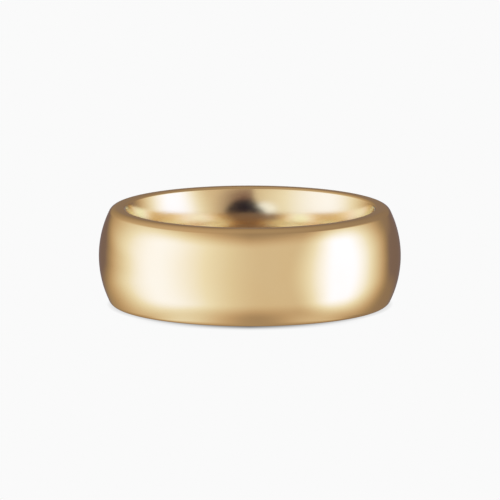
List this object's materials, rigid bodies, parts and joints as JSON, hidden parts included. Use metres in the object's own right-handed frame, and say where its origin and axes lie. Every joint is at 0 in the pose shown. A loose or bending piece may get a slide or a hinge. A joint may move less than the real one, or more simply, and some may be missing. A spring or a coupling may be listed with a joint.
{
  "type": "wedding band",
  "caption": "Plain polished yellow gold wedding band with a domed outside, rounded shoulders, narrow flat rims and a comfort-fit inner curve.",
  "frame": {"origin": "centre of the finger hole, halfway between the two rims", "axes": "+Z along the finger axis, normal to the rims; +X and +Y are equal, because the band is a body of revolution"},
  "size_m": [0.0246, 0.0246, 0.008],
  "materials": {
    "gold": "high polish, pale yellow gold of about 14 carat"
  },
  "bodies": {
    "root": {"band": "gold"}
  },
  "joints": []
}
